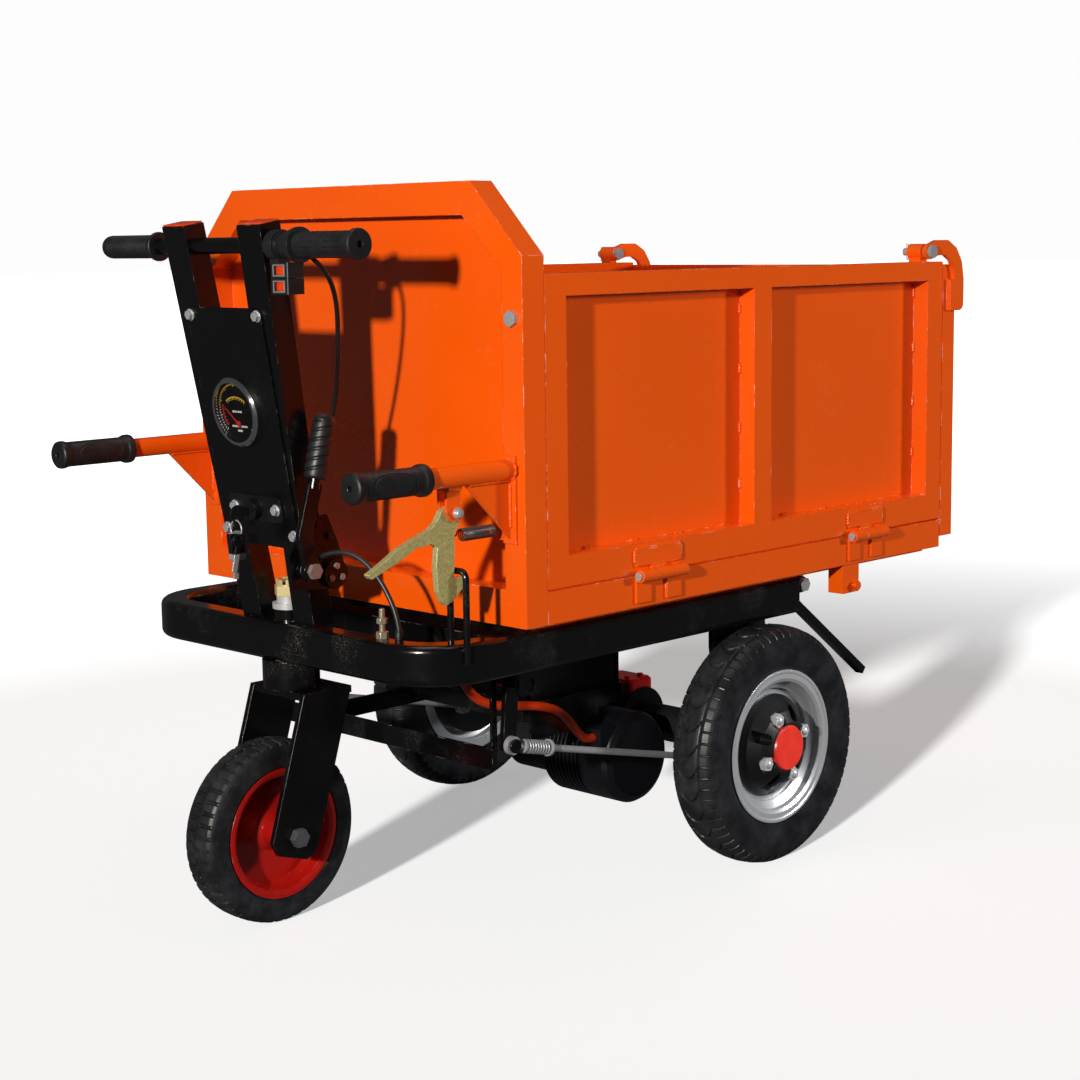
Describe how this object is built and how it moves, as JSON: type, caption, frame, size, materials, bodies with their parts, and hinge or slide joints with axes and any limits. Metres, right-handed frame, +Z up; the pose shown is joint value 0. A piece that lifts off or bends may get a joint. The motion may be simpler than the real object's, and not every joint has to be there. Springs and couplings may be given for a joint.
{
  "type": "electric wheelbarrow",
  "caption": "Electric wheelbarrow: a tipping hopper with fold-down sides and a swinging tailgate on a powered rear axle, steered by a handlebar column over a swivelling front wheel.",
  "frame": {"origin": "on the floor, under the middle of the whole object", "axes": "+X from the operator's end to the dump end, +Y to the operator's left, +Z up"},
  "size_m": [1.293, 0.768, 1.016],
  "materials": {
    "orange_paint": "gloss powder coat",
    "black_paint": "gloss powder coat",
    "red_paint": "gloss paint",
    "silver_rim": "satin silver paint",
    "zinc_steel": "bright zinc plate",
    "yellow_zinc": "yellow zinc plate",
    "dark_cast": "painted casting",
    "motor_alloy": "die-cast alloy",
    "tyre_rubber": "matt rubber",
    "grip_rubber": "matt rubber",
    "black_plastic": "fine grain",
    "grey_plastic": "fine grain",
    "orange_plastic": "smooth",
    "gauge_chrome": "polished",
    "needle_red": "smooth",
    "clear_glass": "clear",
    "key_steel": "nickel plate",
    "cable_sheath": "smooth",
    "orange_conduit": "smooth",
    "battery_case": "fine grain"
  },
  "bodies": {
    "chassis": {"chassis_frame": "black_paint", "batteries": "battery_case", "motor_controller": "motor_alloy", "column_channels": "black_paint", "column_cover": "black_paint", "cover_bolts": "zinc_steel", "handlebar": "black_paint", "left_grip": "grip_rubber", "throttle_housing": "black_plastic", "switch_pods": "grey_plastic", "gauge_case": "gauge_chrome", "gauge_lens": "clear_glass", "ignition_lock": "zinc_steel", "handbrake_bracket": "black_paint", "throttle_lead": "cable_sheath", "brake_cable": "cable_sheath", "axle_housing": "dark_cast", "gear_cover": "red_paint", "drive_motor": "motor_alloy", "motor_conduit": "orange_conduit", "brake_plates": "dark_cast"},
    "caster": {"caster_fork": "black_paint", "kingpin_nut": "yellow_zinc", "front_axle_bolt": "zinc_steel"},
    "front_wheel": {"front_rim": "red_paint", "front_tyre": "tyre_rubber"},
    "rear_wheel_right": {"rear_tyre_right": "tyre_rubber", "rear_rim_right": "silver_rim", "rear_hub_right": "black_paint", "brake_drum_right": "dark_cast", "lug_nuts_right": "zinc_steel"},
    "rear_wheel_left": {"rear_tyre_left": "tyre_rubber", "rear_rim_left": "silver_rim", "rear_hub_left": "black_paint", "brake_drum_left": "dark_cast", "lug_nuts_left": "zinc_steel"},
    "hopper": {"hopper_floor": "orange_paint", "front_wall": "orange_paint", "tip_handles": "orange_paint", "handle_grips": "grip_rubber", "hopper_bolts": "zinc_steel", "panel_hinge_pins": "zinc_steel", "latch_spring": "zinc_steel"},
    "right_panel": {"side_panel_right": "orange_paint"},
    "left_panel": {"side_panel_left": "orange_paint"},
    "rear_gate": {"tailgate": "orange_paint", "tailgate_pins": "zinc_steel"},
    "latch": {"latch_lever": "yellow_zinc"},
    "throttle": {"throttle_grip": "grip_rubber"},
    "upper_switch": {"upper_rocker": "orange_plastic"},
    "lower_switch": {"lower_rocker": "orange_plastic"},
    "needle": {"gauge_needle": "needle_red"},
    "key": {"ignition_key": "key_steel"},
    "hanging_keys": {"key_ring": "key_steel"},
    "handbrake": {"handbrake_lever": "black_paint", "handbrake_grip": "grip_rubber"},
    "cross_shaft": {"brake_shaft": "black_paint"},
    "rods": {"brake_rods": "zinc_steel", "brake_rod_springs": "zinc_steel"},
    "cam_levers": {"drum_levers": "zinc_steel"}
  },
  "joints": [
    {"name": "hopper_tip", "type": "hinge", "parent": "chassis", "child": "hopper", "pos_m": [0.2735, 0, 0.408], "axis": [0, 1, 0], "range_deg": [0, 45]},
    {"name": "rear_gate_swing", "type": "hinge", "parent": "hopper", "child": "rear_gate", "pos_m": [0.5515, 0, 0.911], "axis": [0, -1, 0], "range_deg": [0, 90]},
    {"name": "right_panel_fold", "type": "hinge", "parent": "hopper", "child": "right_panel", "pos_m": [0.1385, -0.36, 0.477], "axis": [1, 0, 0], "range_deg": [0, 150]},
    {"name": "left_panel_fold", "type": "hinge", "parent": "hopper", "child": "left_panel", "pos_m": [0.1385, 0.36, 0.477], "axis": [-1, 0, 0], "range_deg": [0, 150]},
    {"name": "latch_lift", "type": "hinge", "parent": "hopper", "child": "latch", "pos_m": [-0.4495, -0.311, 0.594], "axis": [0, 1, 0], "range_deg": [0, 18], "stiffness_Nm_per_rad": 0.6, "springref_deg": -15, "deforming": ["latch_spring"]},
    {"name": "caster_swivel", "type": "hinge", "parent": "chassis", "child": "caster", "pos_m": [-0.4725, 0, 0.326], "axis": [0, 0, 1], "continuous": true},
    {"name": "front_wheel_spin", "type": "hinge", "parent": "caster", "child": "front_wheel", "pos_m": [-0.5175, 0, 0.129], "axis": [0, 1, 0], "continuous": true},
    {"name": "rear_wheel_right_spin", "type": "hinge", "parent": "chassis", "child": "rear_wheel_right", "pos_m": [0.1615, -0.335, 0.181], "axis": [0, 1, 0], "continuous": true},
    {"name": "rear_wheel_left_spin", "type": "hinge", "parent": "chassis", "child": "rear_wheel_left", "pos_m": [0.1615, 0.335, 0.181], "axis": [0, 1, 0], "continuous": true},
    {"name": "throttle_twist", "type": "hinge", "parent": "chassis", "child": "throttle", "pos_m": [-0.5655, -0.225, 0.936], "axis": [0, -1, 0], "range_deg": [0, 70], "stiffness_Nm_per_rad": 0.15},
    {"name": "upper_switch_rock", "type": "hinge", "parent": "chassis", "child": "upper_switch", "pos_m": [-0.5755, -0.137, 0.904], "axis": [0, 0, 1], "range_deg": [0, 16]},
    {"name": "lower_switch_rock", "type": "hinge", "parent": "chassis", "child": "lower_switch", "pos_m": [-0.5755, -0.137, 0.8835], "axis": [0, 0, 1], "range_deg": [0, 16]},
    {"name": "gauge_sweep", "type": "hinge", "parent": "chassis", "child": "needle", "pos_m": [-0.54711, 0, 0.69882], "axis": [0.9857, 0, 0.1686], "range_deg": [0, 96]},
    {"name": "key_turn", "type": "hinge", "parent": "chassis", "child": "key", "pos_m": [-0.5202, 0, 0.583], "axis": [0.9857, 0, 0.1686], "range_deg": [0, 60]},
    {"name": "keys_swing", "type": "hinge", "parent": "key", "child": "hanging_keys", "pos_m": [-0.5586, 0, 0.56856], "axis": [0, 1, 0], "range_deg": [-15, 15]},
    {"name": "handbrake_pull", "type": "hinge", "parent": "chassis", "child": "handbrake", "pos_m": [-0.5235, -0.115, 0.507], "axis": [0, -1, 0], "range_deg": [0, 40]},
    {"name": "cross_shaft_turn", "type": "hinge", "parent": "chassis", "child": "cross_shaft", "pos_m": [-0.2885, 0, 0.338], "axis": [0, 1, 0], "range_deg": [0, 16.1]},
    {"name": "rods_draw", "type": "slide", "parent": "chassis", "child": "rods", "axis": [-0.9739, 0, 0.2268], "range_m": [0, 0.0246]},
    {"name": "cam_levers_turn", "type": "hinge", "parent": "chassis", "child": "cam_levers", "pos_m": [0.0915, 0, 0.215], "axis": [0, 1, 0], "range_deg": [0, 26]}
  ],
  "couplings": [
    {"joint": "cross_shaft_turn", "follows": "handbrake_pull", "ratio": 0.4},
    {"joint": "rods_draw", "follows": "handbrake_pull", "m_per_rad": 0.0351},
    {"joint": "cam_levers_turn", "follows": "handbrake_pull", "ratio": 0.643}
  ]
}
